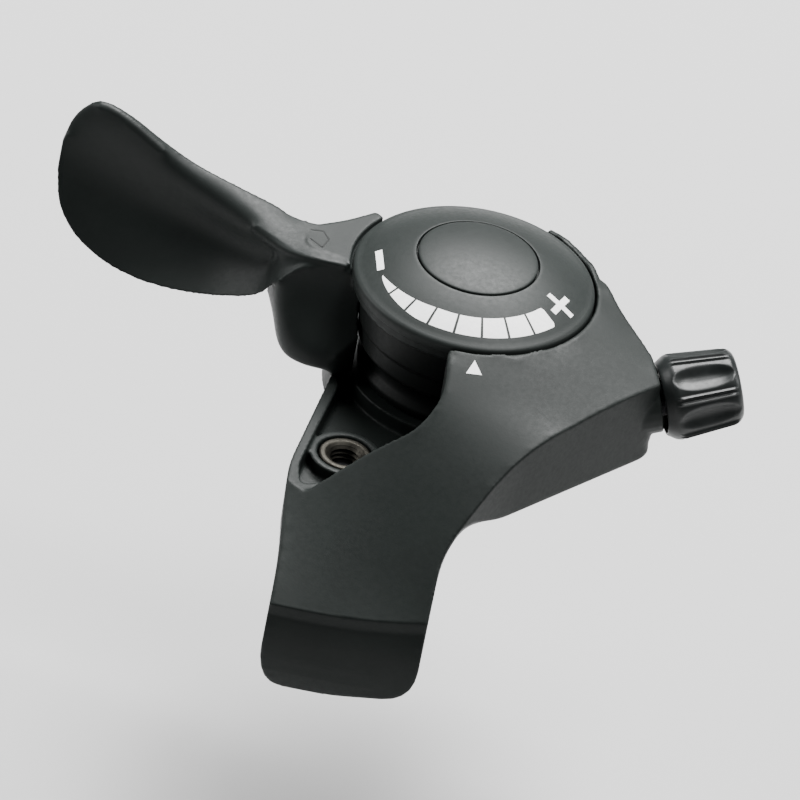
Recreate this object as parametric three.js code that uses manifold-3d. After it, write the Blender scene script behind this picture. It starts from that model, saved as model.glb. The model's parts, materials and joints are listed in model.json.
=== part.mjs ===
// A left-hand friction thumb shifter for a 22.2 mm handlebar, built as its real pieces.
// Lengths are millimetres. Inside the mechanism group Z is the lever's pivot axis, with zero at the
// seam of the centre cap, X runs along the handlebar towards the cable outlet and Y points away
// from the rider. The group is then moved so that the origin is the middle of the handlebar clamp.
import * as THREE from 'three';
import { mergeVertices } from 'three/addons/utils/BufferGeometryUtils.js';
import Module from 'manifold-3d';

const wasm = await Module();
wasm.setup();

// ---- driving sizes ----------------------------------------------------------------------

const GAP = 0.3;             // clearance left between pieces that touch
const BIG_ROUND = 48;        // facets around the dial, the drum and the housing
const SMALL_ROUND = 24;      // facets around screws, washers and bores
const FAR = 80;              // longer than anything that is cut

const BAR = { y: -38.8, z: -35.5, radius: 11.1 };            // the 22.2 mm handlebar
const LOBE = { left: -19.4, right: 3, radius: 14, tipAngle: 214, ridgeAngle: 151.4 };
const BAND = { left: -18.2, right: -3.5, inner: 11.25, thickness: 1.2, hookAngle: 188, hookOuter: 13.05,
  earTop: -41, earBack: -18.8 };
const CLAMP = { x: -13.1, y: -24.2, holeRadius: 2.8 };       // the clamp bolt's axis
const NUT = { top: -20.5, step: -22.5, bottom: -27, flange: 3.75, body: 3.2, bore: 2.4 };
const CLAMP_CENTRE_X = (LOBE.left + LOBE.right) / 2;

const DIAL = { radius: 17.4, seam: 8.73, sphere: 33, bottom: -4.2, wall: 1.3 };
const PLATE = { radius: 17, top: -4.5, bottom: -6.6, hole: 10.2 };   // the lever's hub plate
const DRUM = { top: -6.9, bottom: -19.6, radius: 15.4, well: 9.9, wellFloor: -10.2, bore: 4.4 };
const FLOOR = { top: -20, bottom: -24, pocket: -22.4, wallTop: -19.65 };
const BOWL = { inner: 17.75, outer: 18.8, lowerInner: 16.3, step: -7.4 };
const RIM = { start: -95, end: 60, lowEnd: 118, top: -3.6 };
const STUD = { radius: 3, headRadius: 5.7, headBottom: -23.7, headTop: -22.2, top: -4.8, flats: 2.3 };
const LEDGE = { top: -3.6, bottom: -5.2, inner: 17.75, from: 143.7, to: 188.4 };
const LEVER_INNER = 15.75;   // the skirt hugs the drum at this radius
const SKIRT = { top: -5, bottom: -19.3, from: 172, to: 203, wall: 2.6 };

// The cable adjuster's own axis: it starts at the knob's near end and points out of the housing.
const OUTLET = { x: 29.2, y: -7.3, z: -12.8, yaw: 18, pitch: 14 };
const KNOB = { length: 11.2, nearRadius: 6.2, farRadius: 5.5, flutes: 6 };

// Seen square to the sloping saddle, a point has the coordinates X and V. V rises up the slope.
const SADDLE_TILT = 35.8;

const degrees = (angle) => THREE.MathUtils.degToRad(angle);
const polar = (radius, angle) => [radius * Math.cos(degrees(angle)), radius * Math.sin(degrees(angle))];

// ---- materials --------------------------------------------------------------------------

const material = (color, roughness, metalness) =>
  new THREE.MeshStandardMaterial({ color, roughness, metalness });

const housingPlastic = material('#4a504e', 0.55, 0);
const leverPlastic = material('#454b49', 0.52, 0);
const dialPlastic = material('#535a58', 0.5, 0);
const drumPlastic = material('#262a2a', 0.6, 0);
const knobPlastic = material('#191b1c', 0.3, 0);
const steel = material('#8d8f92', 0.35, 1);
const darkSteel = material('#3b3d40', 0.45, 1);
const brass = material('#b0924f', 0.35, 1);
const nylon = material('#d9d6cb', 0.5, 0);

// ---- geometry and solids ----------------------------------------------------------------

function toSolid(geometry) {
  const bare = geometry.clone();
  bare.deleteAttribute('normal');
  bare.deleteAttribute('uv');
  const merged = mergeVertices(bare, 1e-4);
  const index = merged.index.array;
  const triVerts = [];
  for (let i = 0; i < index.length; i += 3) {
    const [a, b, c] = [index[i], index[i + 1], index[i + 2]];
    if (a !== b && b !== c && c !== a) triVerts.push(a, b, c);
  }
  return new wasm.Manifold(new wasm.Mesh({
    numProp: 3,
    vertProperties: new Float32Array(merged.attributes.position.array),
    triVerts: new Uint32Array(triVerts),
  }));
}

function toGeometry(solid) {
  const mesh = solid.getMesh();
  const geometry = new THREE.BufferGeometry();
  geometry.setAttribute('position', new THREE.BufferAttribute(new Float32Array(mesh.vertProperties), 3));
  geometry.setIndex(new THREE.BufferAttribute(new Uint32Array(mesh.triVerts), 1));
  const flat = geometry.toNonIndexed();
  flat.computeVertexNormals();
  return flat;
}

const joined = (first, ...others) => others.reduce((whole, part) => whole.add(part), first);
const cutBy = (solid, ...tools) => tools.reduce((whole, tool) => whole.subtract(tool), solid);
const common = (first, ...others) => others.reduce((whole, part) => whole.intersect(part), first);

// A body of revolution about Z. The profile is a list of [radius, z] round its cut face.
function turned(profile, facets = BIG_ROUND) {
  const loop = profile.map(([radius, z]) => new THREE.Vector2(radius, z));
  if (THREE.ShapeUtils.area(loop) < 0) loop.reverse();
  const touchesAxis = loop.some((point) => point.x === 0);
  if (touchesAxis) {
    while (!(loop[0].x === 0 && loop[loop.length - 1].x === 0)) loop.push(loop.shift());
  } else {
    loop.push(loop[0].clone());
  }
  return toSolid(new THREE.LatheGeometry(loop, facets).rotateX(Math.PI / 2));
}

const disc = (radius, low, high, facets = SMALL_ROUND) =>
  turned([[0, low], [radius, low], [radius, high], [0, high]], facets);

const ring = (inner, outer, low, high, facets = SMALL_ROUND) =>
  turned([[inner, low], [outer, low], [outer, high], [inner, high]], facets);

const moved = (solid, x, y, z = 0) => solid.translate([x, y, z]);

// An outline of [x, y, softness] corners, each rounded over that length, or less on a short side.
function outline(corners) {
  const shape = new THREE.Shape();
  corners.forEach(([x, y, softness = 0], i) => {
    const corner = new THREE.Vector2(x, y);
    const [beforeX, beforeY] = corners.at(i - 1);
    const [afterX, afterY] = corners[(i + 1) % corners.length];
    const towards = (otherX, otherY) => {
      const side = new THREE.Vector2(otherX, otherY).sub(corner);
      return side.setLength(Math.min(softness, 0.45 * side.length())).add(corner);
    };
    const start = towards(beforeX, beforeY);
    const end = towards(afterX, afterY);
    if (i === 0) shape.moveTo(start.x, start.y);
    else shape.lineTo(start.x, start.y);
    if (softness > 0) shape.quadraticCurveTo(x, y, end.x, end.y);
  });
  return shape;
}

const arcPoints = (radius, from, to, steps, centreX = 0, centreY = 0) =>
  Array.from({ length: steps + 1 }, (_, i) => {
    const [x, y] = polar(radius, from + (to - from) * i / steps);
    return [x + centreX, y + centreY];
  });

function extruded(shape, depth, matrix) {
  const geometry = new THREE.ExtrudeGeometry(shape, { depth, bevelEnabled: false, curveSegments: 5 });
  return toSolid(geometry.applyMatrix4(matrix));
}

// Upright: an outline in X and Y, between two heights.
const upright = (shape, low, high) =>
  extruded(shape, high - low, new THREE.Matrix4().makeTranslation(0, 0, low));

// Lengthwise: an outline in Y and Z, between two places along the handlebar.
function lengthwise(shape, left, right) {
  const turn = new THREE.Matrix4().makeBasis(
    new THREE.Vector3(0, 1, 0), new THREE.Vector3(0, 0, 1), new THREE.Vector3(1, 0, 0));
  return extruded(shape, right - left, turn.setPosition(left, 0, 0));
}

// Square to the saddle: an outline in X and V, cut right through the part.
function squareToSaddle(shape) {
  const up = new THREE.Vector3(0, Math.sin(degrees(SADDLE_TILT)), Math.cos(degrees(SADDLE_TILT)));
  const along = new THREE.Vector3(1, 0, 0);
  const out = along.clone().cross(up);
  const turn = new THREE.Matrix4().makeBasis(along, up, out).setPosition(out.clone().multiplyScalar(-FAR));
  return extruded(shape, 2 * FAR, turn);
}

// A skin over cross sections in Y and Z, each {x, loop}, in order of rising x.
function lofted(sections) {
  const count = sections[0].loop.length;
  const positions = sections.flatMap(({ x, loop }) => loop.flatMap(([y, z]) => [x, y, z]));
  const faces = [];
  for (let s = 0; s + 1 < sections.length; s += 1) {
    for (let i = 0; i < count; i += 1) {
      const near = s * count + i;
      const next = s * count + (i + 1) % count;
      faces.push(near, next, near + count, next, next + count, near + count);
    }
  }
  const last = (sections.length - 1) * count;
  const capOf = ({ loop }) =>
    THREE.ShapeUtils.triangulateShape(loop.map(([y, z]) => new THREE.Vector2(y, z)), []);
  capOf(sections[0]).forEach(([a, b, c]) => faces.push(a, c, b));
  capOf(sections.at(-1)).forEach(([a, b, c]) => faces.push(last + a, last + b, last + c));
  const geometry = new THREE.BufferGeometry();
  geometry.setAttribute('position', new THREE.Float32BufferAttribute(positions, 3));
  geometry.setIndex(faces);
  return toSolid(geometry);
}

// A slice of a disc seen from above, from one angle to another.
function slice(radius, from, to, low, high) {
  const edge = arcPoints(radius, from, to, Math.ceil((to - from) / 6));
  return upright(outline([[0, 0], ...edge]), low, high);
}

// ---- the adjuster's frame ---------------------------------------------------------------

const outletMatrix = (() => {
  const along = new THREE.Vector3(
    Math.cos(degrees(OUTLET.pitch)) * Math.cos(degrees(OUTLET.yaw)),
    Math.cos(degrees(OUTLET.pitch)) * Math.sin(degrees(OUTLET.yaw)),
    Math.sin(degrees(OUTLET.pitch)));
  const side = new THREE.Vector3(0, 0, 1).cross(along).normalize();
  const over = along.clone().cross(side);
  return new THREE.Matrix4().makeBasis(side, over, along).setPosition(OUTLET.x, OUTLET.y, OUTLET.z);
})();

const atOutlet = (solid) => solid.transform([...outletMatrix.elements]);

// ---- bracket ----------------------------------------------------------------------------

// Height of the roof that falls away from the dial: flat round the dial, then a cone that is
// steeper towards the handlebar.
function roofHeight(x, y) {
  const reach = Math.max(0, Math.hypot(x, y) - BOWL.outer + 0.8);
  const heading = THREE.MathUtils.radToDeg(Math.atan2(y, x));
  const towardsBar = THREE.MathUtils.clamp((-20 - heading) / 60, 0, 1);
  return RIM.top - THREE.MathUtils.lerp(0.31, 0.47, towardsBar) * reach;
}

// The top line of the housing at one place along the bar, from the back to the lobe's tip.
function roofLine(x) {
  const leftDrop = 0.28 * Math.max(0, -2 - x);
  const rightRise = Math.max(0, x + 2);
  const back = [22, 18, 14, 9, 4, 0, -4, -9, -14, -17, -20].map((y) => [y, roofHeight(x, y) - leftDrop]);
  const startY = -24;
  const start = new THREE.Vector2(startY, roofHeight(x, startY) - leftDrop);
  const across = THREE.MathUtils.clamp((x - LOBE.left) / (LOBE.right - LOBE.left), 0, 1);
  const ridgeAngle = LOBE.ridgeAngle + 5 * across - 10.6 * across ** 2;
  const [ridgeY, ridgeZ] = polar(LOBE.radius + 0.8, ridgeAngle);
  const ridge = new THREE.Vector2(BAR.y + ridgeY, BAR.z + ridgeZ);
  const saddle = new THREE.CubicBezierCurve(
    start,
    start.clone().add(new THREE.Vector2(-9, -4.5 + 0.15 * rightRise)),
    ridge.clone().add(new THREE.Vector2(6.4, 4.5 + 0.35 * rightRise)),
    ridge);
  const front = saddle.getPoints(10).map((point) => [point.x, point.y]);
  const tip = arcPoints(LOBE.radius, ridgeAngle + 6, LOBE.tipAngle + 6, 8, BAR.y, BAR.z);
  return [...back, ...front, ...tip];
}

function housingBlock() {
  const sections = [];
  for (let x = -23; x <= 33; x += 2.8) {
    sections.push({ x, loop: [...roofLine(x), [BAR.y, BAR.z - 14], [22, BAR.z - 14]] });
  }
  return lofted(sections);
}

// Seen along the bar: the flat base, the jaw behind the bar, the saddle and the lobe's tip.
function sideProfile() {
  const jawBottom = -31;
  const jawBack = -19.5;
  const [tipInY, tipInZ] = polar(BAR.radius, LOBE.tipAngle);
  const [tipOutY, tipOutZ] = polar(LOBE.radius + 4, LOBE.tipAngle);
  return outline([
    [22, 8], [22, FLOOR.bottom], [jawBack, FLOOR.bottom], [jawBack, jawBottom],
    [BAR.y + 10.1, jawBottom],
    ...arcPoints(BAR.radius, 27, LOBE.tipAngle - 4, 24, BAR.y, BAR.z).slice(0, -1),
    [BAR.y + tipInY, BAR.z + tipInZ],
    [BAR.y + tipOutY, BAR.z + tipOutZ],
    [-70, BAR.z + tipOutZ], [-70, 8],
  ].reverse());
}

// Seen from above: the bowl round the drum, the nose at the cable outlet, the lobe and the
// left shoulder.
function planProfile() {
  return outline([
    [28.6, -8.2, 0.8], [21.4, 0.6, 2], [18.6, 6, 1],
    ...arcPoints(BOWL.outer, 20, 203, 30),
    [-20.6, -30, 3], [-20.4, -36, 3], [LOBE.left, -46, 3], [LOBE.left, -60],
    [LOBE.right, -60], [LOBE.right, -43.5, 2.5], [10, -33, 4], [29, -10.8, 1.2],
  ].reverse());
}

// Seen square to the saddle: the lobe's rounded tip and the belly that rises to the nose.
function frontProfile() {
  return outline([
    [-40, 30], [-40, -30], [-20.6, -32, 0], [-20.4, -38.8, 3], [-19.5, -51, 3],
    [-19.4, -64.2, 5.2], [-12, -65, 6], [2.9, -63.1, 4.4], [2.95, -50, 4], [3.1, -43, 2],
    [5.2, -37.2, 2.2], [9.9, -35.7, 1.5], [28.8, -23, 1.4], [29.6, -19, 1.5], [29.2, -8, 0],
    [60, 0], [60, 30],
  ]);
}

// The open side of the bowl and the pocket in front of it, seen from above.
function pocketOutline() {
  return outline([
    [0, 0], ...arcPoints(30, RIM.lowEnd, 150, 4), [-45, 10], [-45, -38.5],
    [-24, -38.5], [-18.4, -36.6, 1], [-13.5, -33.6, 3], [-9, -31.2, 3],
    [-3.6, -29.2, 3], [-1, -24.5, 3], polar(BOWL.outer, RIM.start),
  ].reverse());
}

function pocketFloorOutline() {
  return outline([
    polar(BOWL.inner, 200), ...arcPoints(15.9, 204, 262, 8),
    [-2, -17.5, 0.5], [-2.4, -19.5, 1], [-2.2, -24.4, 2], [-4.6, -28, 3], [-9.3, -30, 3],
    [-13.8, -32.2, 3], [-18.4, -34.6, 1.5], [-19.2, -30, 2], [-15.9, -9.6, 1],
  ]);
}

// The straight way of the cable from the drum's groove to the adjuster.
function cableWay(radius) {
  const from = new THREE.Vector3(4, -13.2, -17.2);
  const to = new THREE.Vector3(0, 0, -9).applyMatrix4(outletMatrix);
  const way = to.clone().sub(from);
  const rod = new THREE.CylinderGeometry(radius, radius, way.length() + 1, 16).rotateX(Math.PI / 2);
  const turn = new THREE.Quaternion().setFromUnitVectors(new THREE.Vector3(0, 0, 1), way.normalize());
  const middle = from.clone().add(to).multiplyScalar(0.5);
  const one = new THREE.Vector3(1, 1, 1);
  return toSolid(rod.applyMatrix4(new THREE.Matrix4().compose(middle, turn, one)));
}

const coverScrewPlaces = () => [40, 160, 280].map((angle) => polar(12, angle));

// Everything that is cut out of the housing from below or from the side.
function housingBores() {
  const jawRelief = upright(outline([[LOBE.right, -30], [60, -30], [60, 25], [LOBE.right, 25]]),
    -60, FLOOR.bottom);
  const core = upright(outline([
    [8.5, -23.5, 1], [13, -21, 2], [23, -9, 2], [21.2, -3.6, 2], [19.9, -0.5, 0.8],
    ...arcPoints(19.9, -6, -62, 6)]), FLOOR.bottom - 1, -13);
  const studSeat = joined(
    disc(STUD.headRadius + GAP, FLOOR.bottom - 1, STUD.headTop + GAP),
    disc(STUD.radius + GAP, FLOOR.bottom, FLOOR.top + 1));
  const screwHoles = coverScrewPlaces().map(([x, y]) => moved(disc(1.4, FLOOR.bottom - 1, -20.8, 16), x, y));
  const nutHole = moved(joined(
    disc(NUT.flange + GAP, NUT.step - GAP, -10),
    disc(NUT.body + GAP, NUT.bottom - GAP, NUT.step),
    disc(CLAMP.holeRadius, -32, NUT.bottom)), CLAMP.x, CLAMP.y);
  const bandTop = BAND.inner + BAND.thickness;
  const hookEnd = BAND.hookAngle + 6;
  const bandRecess = lengthwise(outline([
    ...arcPoints(BAR.radius - 1, BAND.hookAngle - 2.5, LOBE.tipAngle + 8, 6, BAR.y, BAR.z),
    ...arcPoints(bandTop + GAP, LOBE.tipAngle + 8, hookEnd + 1.5, 6, BAR.y, BAR.z),
    ...arcPoints(BAND.hookOuter + GAP, hookEnd + 1.5, BAND.hookAngle - 2.5, 2, BAR.y, BAR.z),
  ]), BAND.left - GAP, BAND.right + GAP);
  const insertHole = atOutlet(disc(3.6, -9.6, 5));
  const knobRoom = atOutlet(disc(7, -GAP, 14));
  return [jawRelief, core, studSeat, ...screwHoles, nutHole, bandRecess, insertHole, knobRoom,
    cableWay(1.9)];
}

function bracketHousing() {
  const block = common(
    housingBlock(),
    lengthwise(sideProfile(), -30, 40),
    upright(planProfile(), -60, 10),
    squareToSaddle(frontProfile()));
  const neckSide = upright(outline([[22, -30], [60, -30], [60, 30], [22, 30]]), -40, 10);
  const neck = common(atOutlet(disc(4.6, -14, -0.5)), neckSide);
  const bowl = turned([
    [0, FLOOR.top], [BOWL.lowerInner, FLOOR.top], [BOWL.lowerInner, BOWL.step],
    [BOWL.inner, BOWL.step], [BOWL.inner, 10], [0, 10]]);
  const openSide = upright(pocketOutline(), FLOOR.wallTop, 10);
  const pocket = upright(pocketFloorOutline(), FLOOR.pocket, 0);
  const lowRim = slice(30, RIM.end, RIM.lowEnd + 1, BOWL.step, 10);
  const nutBoss = moved(disc(5.2, FLOOR.pocket - 1, FLOOR.wallTop - 0.75), CLAMP.x, CLAMP.y);
  const shell = joined(cutBy(joined(block, neck), bowl, openSide, lowRim, pocket), nutBoss);
  return cutBy(shell, ...housingBores());
}

function baseCover() {
  const low = FLOOR.bottom - GAP - 1.2;
  const plate = upright(outline([
    [-13.5, -9, 3], [-13.5, 9, 3], [-5, 16.5, 4], [8, 15.5, 5], [17, 4.5, 4], [24.6, -7.6, 2],
    [13.6, -20.6, 2], [8.6, -24, 2], [4.6, -22, 1], [4.6, -18.8], [-8, -18.8, 3],
  ].reverse()), low, FLOOR.bottom - GAP);
  const holes = coverScrewPlaces().map(([x, y]) => moved(disc(1.4, low - 1, FLOOR.bottom, 16), x, y));
  return cutBy(plate, ...holes);
}

function coverScrew() {
  const headTop = FLOOR.bottom - 2 * GAP - 1.2;
  const screw = joined(disc(2.1, headTop - 1.1, headTop, 18), disc(1.1, headTop - 0.5, -21.2, 12));
  const slot = new THREE.BoxGeometry(3, 0.6, 1).translate(0, 0, headTop - 1.1);
  return cutBy(screw, toSolid(slot), toSolid(slot.clone().rotateZ(Math.PI / 2)));
}

// A round rod or bore whose sides are ground flat, so that what sits on it can't turn.
const flatted = (solid, halfWidth) =>
  common(solid, toSolid(new THREE.BoxGeometry(2 * halfWidth, FAR, 2 * FAR)));

function pivotStud() {
  const flatsFrom = DRUM.wellFloor + 0.5;
  const stud = joined(
    disc(STUD.headRadius, STUD.headBottom, STUD.headTop),
    disc(STUD.radius, STUD.headTop - 1, flatsFrom),
    flatted(disc(STUD.radius, flatsFrom - 1, STUD.top), STUD.flats));
  return cutBy(stud, disc(2, -14, 0, 20));
}

function pivotScrew() {
  const screw = joined(disc(4.2, STUD.top + GAP, STUD.top + 2, 24), disc(1.7, -12, STUD.top + 1, 20));
  const recess = new THREE.BoxGeometry(4.4, 1, 2.4).translate(0, 0, STUD.top + 2.4);
  return cutBy(screw, toSolid(recess), toSolid(recess.clone().rotateZ(Math.PI / 2)));
}

function lockWasher() {
  const hole = flatted(disc(STUD.radius + GAP, -20, 5), STUD.flats + GAP);
  return cutBy(disc(8.5, STUD.top - 0.8, STUD.top), hole);
}

const discSpring = (innerHeight, outerHeight) => turned([
  [3.5, innerHeight], [9.2, outerHeight], [9.2, outerHeight + 0.6], [3.5, innerHeight + 0.6]], 36);

// Where the strap, at one radius, turns off into its flat ear.
const earAngle = (radius, height) =>
  360 + THREE.MathUtils.radToDeg(Math.asin((height - BAR.z) / radius));

function clampBand() {
  const outer = BAND.inner + BAND.thickness;
  const hookEnd = BAND.hookAngle + 5;
  const earBottom = BAND.earTop - BAND.thickness;
  const strap = lengthwise(outline([
    ...arcPoints(BAND.inner, BAND.hookAngle, earAngle(BAND.inner, BAND.earTop), 32, BAR.y, BAR.z),
    [BAND.earBack, BAND.earTop], [BAND.earBack, earBottom],
    ...arcPoints(outer, earAngle(outer, earBottom), hookEnd, 32, BAR.y, BAR.z),
    ...arcPoints(BAND.hookOuter, hookEnd, BAND.hookAngle, 2, BAR.y, BAR.z),
  ]), BAND.left, BAND.right);
  const hole = moved(disc(CLAMP.holeRadius, -60, -30), CLAMP.x, CLAMP.y);
  return cutBy(common(strap, squareToSaddle(frontProfile())), hole);
}

function clampBolt() {
  const headTop = BAND.earTop - BAND.thickness - 2 * GAP - 1;
  const bolt = joined(disc(4.2, headTop - 4, headTop), disc(2.1, headTop - 1, -23.2, 20));
  const socket = new THREE.CylinderGeometry(2.3, 2.3, 5, 6).rotateX(Math.PI / 2)
    .translate(0, 0, headTop - 4);
  return moved(cutBy(bolt, toSolid(socket)), CLAMP.x, CLAMP.y);
}

const clampWasher = () => moved(
  ring(CLAMP.holeRadius, 4, BAND.earTop - BAND.thickness - GAP - 1, BAND.earTop - BAND.thickness - GAP),
  CLAMP.x, CLAMP.y);

const clampNut = () => moved(turned([
  [NUT.bore, NUT.bottom], [NUT.body, NUT.bottom], [NUT.body, NUT.step], [NUT.flange, NUT.step],
  [NUT.flange, NUT.top - 0.4], [NUT.flange - 0.4, NUT.top], [NUT.bore + 0.5, NUT.top],
  [NUT.bore, NUT.top - 0.5]], 32), CLAMP.x, CLAMP.y);

// ---- lever ------------------------------------------------------------------------------

// Four lines run along the thumb paddle from the hub to its tip: the lip at the front of its
// rolled top, the crest behind it, the keel below, and how far the hollow face sinks between.
const PADDLE = [
  { x: -61.3, lip: [11.4, -2.2], crest: [12.6, -2.4], keel: [9.8, -5.8], hollow: 0.1, thickness: 1.0 },
  { x: -60.1, lip: [12, 1.2], crest: [13.6, 1.5], keel: [8.1, -10.6], hollow: 0.7, thickness: 1.6 },
  { x: -57, lip: [11.7, 4.2], crest: [13.6, 4.6], keel: [6.6, -14.5], hollow: 1.6, thickness: 2 },
  { x: -52.3, lip: [10.4, 3.5], crest: [12.7, 3.7], keel: [4.6, -16.6], hollow: 2.4, thickness: 2.2 },
  { x: -47.3, lip: [9.1, 1], crest: [11.8, 1.2], keel: [3, -17.3], hollow: 2.9, thickness: 2.4 },
  { x: -42, lip: [7.6, -1.5], crest: [10.8, -1], keel: [1.5, -16.9], hollow: 3.2, thickness: 2.5 },
  { x: -36, lip: [4.9, -3.2], crest: [9.2, -2.1], keel: [0, -15.5], hollow: 3.3, thickness: 2.6 },
  { x: -30, lip: [1.1, -3.9], crest: [7.7, -3.1], keel: [-2.2, -12.4], hollow: 2.6, thickness: 2.8 },
  { x: -27.4, lip: [-0.5, -4.1], crest: [6.6, -3.6], keel: [-3.1, -8.6], hollow: 1.1, thickness: 2.9 },
  { x: -25, lip: [-1.6, -4], crest: [5.8, -3.5], keel: [-3.3, -6.2], hollow: 0.5, thickness: 2.6 },
  { x: -22.4, lip: [-2.3, -3.7], crest: [5.9, -3.55], keel: [-3, -5.2], hollow: 0.1, thickness: 1.4 },
  { x: -18.1, lip: [-2.6, -3.6], crest: [8.6, -3.6], keel: [-2.9, -5.2], hollow: 0, thickness: 1.2 },
];

const pointsOn = (curve, from, to, count) =>
  Array.from({ length: count + 1 }, (_, i) => curve.getPoint(from + (to - from) * i / count));

function paddleLoop({ lip, crest, keel, hollow, thickness }) {
  const heel = [keel[0] + thickness, keel[1] + 0.5 * thickness];
  const toe = [keel[0] + 0.5 * thickness, keel[1] - 0.15 * thickness];
  const bowed = ([startY, startZ], [endY, endZ], bowY, bowZ) => new THREE.QuadraticBezierCurve(
    new THREE.Vector2(startY, startZ),
    new THREE.Vector2((startY + endY) / 2 + bowY, (startZ + endZ) / 2 + bowZ),
    new THREE.Vector2(endY, endZ));
  const front = new THREE.CubicBezierCurve(
    new THREE.Vector2(...lip),
    new THREE.Vector2(lip[0] - 0.08 * (lip[0] - keel[0]) - 0.4, lip[1] + 0.3 * (keel[1] - lip[1])),
    new THREE.Vector2((lip[0] + keel[0]) / 2 + 2.6 * hollow, (lip[1] + keel[1]) / 2),
    new THREE.Vector2(...keel));
  const back = bowed(heel, [crest[0], crest[1] - 0.4], 2 * hollow, 0);
  const top = bowed(crest, lip, 0, 0.2 * hollow);
  const rolledLip = new THREE.QuadraticBezierCurve(
    top.getPoint(0.5), new THREE.Vector2(...lip), front.getPoint(0.2));
  const points = [
    ...pointsOn(rolledLip, 0, 1, 4), ...pointsOn(front, 0.3, 1, 7), new THREE.Vector2(...toe),
    ...pointsOn(back, 0, 1, 8), ...pointsOn(top, 0, 0.35, 2)];
  return points.map((point) => [point.x, point.y]);
}

function paddle() {
  const loops = PADDLE.map(paddleLoop);
  const rails = loops[0].map((_, i) => new THREE.CatmullRomCurve3(
    loops.map((loop, s) => new THREE.Vector3(PADDLE[s].x, ...loop[i])), false, 'catmullrom', 0.5));
  const steps = 3 * (PADDLE.length - 1);
  const sections = Array.from({ length: steps + 1 }, (_, s) => {
    const points = rails.map((rail) => rail.getPoint(s / steps));
    return { x: points[0].x, loop: points.map((point) => [point.y, point.z]) };
  });
  return lofted(sections);
}

function leverLedge() {
  return upright(outline([
    ...arcPoints(LEDGE.inner, LEDGE.from, LEDGE.to, 12),
    [-19, -1.2, 0.5], [-22.4, -0.6, 1], [-24.4, 0.8, 1], [-24.4, 5, 1],
    [-22.6, 6.1, 2], [-19.4, 8.1, 2], [-15.5, 11.5, 0.6],
  ]), LEDGE.bottom, LEDGE.top);
}

// The deep skirt below the ledge hugs the drum. Its face leans forward as it goes down, and it is
// hollow behind. Its top is tucked in under the paddle's lower edge.
function leverSkirt() {
  const leanBy = (offset) => lengthwise(outline([
    [10, -3], [-2.6 + offset, -3.4], [-3.2 + offset, -8, 3], [-5.2 + offset, -12, 3],
    [-9.4 + offset, -17.5], [-9.4 + offset, -25], [10, -25]]), -40, 0);
  const block = upright(outline([
    ...arcPoints(LEVER_INNER, SKIRT.from, SKIRT.to, 8),
    [-16.8, -8.2, 1.5], [-21, -8.8, 3], [-25.2, -6.8, 3], [-27.6, -3, 3], [-28.8, 1.4, 1], [-26, 3.4, 1],
    [-18, 2.9],
  ].reverse()), SKIRT.bottom, SKIRT.top);
  const hollow = upright(outline([
    [-18.3, -5.6, 1], [-21, -6.2, 2], [-24, -4.6, 2], [-25.4, -1.5, 1], [-25.4, 12], [-18.3, 12],
  ].reverse()), SKIRT.bottom - 1, LEDGE.bottom - 1.2);
  const side = squareToSaddle(outline([
    [-29.4, -1], [-29, -10.2, 1.5], [-27.2, -12.8, 2], [-26, -17.3, 2.5], [-23.8, -20.6, 2],
    [-14, -21.5], [-10, -10], [-10, 20], [-29.4, 20]]));
  const aboveKeel = squareToSaddle(outline([
    [-32, -10.9], [-29.2, -10.2], [-27.1, -8.4], [-24.9, -6.3], [-22.6, -5.1], [-17.4, -4.7],
    [-17.4, 20], [-32, 20]]));
  const tuck = common(aboveKeel, lengthwise(outline([[-30, -20], [0.6, -20], [0.6, 10], [-30, 10]]), -40, 0));
  return cutBy(common(block, side, leanBy(0)), common(hollow, leanBy(SKIRT.wall)), tuck);
}

const pegPlaces = () => [30, 150, 270].map((angle) => polar(13.5, angle));
const lugPlaces = () => [90, 210, 330].map((angle) => polar(12.8, angle));

function thumbLever() {
  const bridge = common(
    ring(16, 18.4, PLATE.bottom, PLATE.top, BIG_ROUND), slice(30, 146, 188, -10, 0));
  const pegHoles = pegPlaces().map(([x, y]) => moved(disc(1.3, -10, 0, 16), x, y));
  const lugHoles = lugPlaces().map(([x, y]) => moved(disc(1.9, -10, 0, 16), x, y));
  const body = joined(
    ring(PLATE.hole, PLATE.radius, PLATE.bottom, PLATE.top, BIG_ROUND),
    bridge, leverLedge(), leverSkirt(), paddle());
  return cutBy(body, ...pegHoles, ...lugHoles);
}

function cableDrum() {
  const body = turned([
    [DRUM.bore, DRUM.wellFloor], [DRUM.well, DRUM.wellFloor], [DRUM.well, DRUM.top],
    [DRUM.radius, DRUM.top], [15.1, -14.6], [14.5, -15], [13.2, -16.2], [13.2, -17.6],
    [14.5, -18.6], [14.3, DRUM.bottom], [9.6, DRUM.bottom], [9.6, -18.4], [DRUM.bore, -18.4]]);
  const lugs = lugPlaces().map(([x, y]) => moved(disc(1.6, DRUM.top - 1, -5, 16), x, y));
  const anchor = new THREE.CylinderGeometry(3.1, 3.1, 4.6, 20).rotateX(Math.PI / 2);
  const nipplePocket = moved(toSolid(anchor), ...polar(12.8, 120), -16.9);
  return cutBy(joined(body, ...lugs), nipplePocket);
}

// Height of the dial's domed face over the seam.
const domeHeight = (radius) =>
  Math.sqrt(DIAL.sphere ** 2 - radius ** 2) - Math.sqrt(DIAL.sphere ** 2 - DIAL.seam ** 2);

function domePoints(from, to, steps, drop) {
  return Array.from({ length: steps + 1 }, (_, i) => {
    const radius = from + (to - from) * i / steps;
    return [radius, domeHeight(radius) - drop];
  });
}

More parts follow.
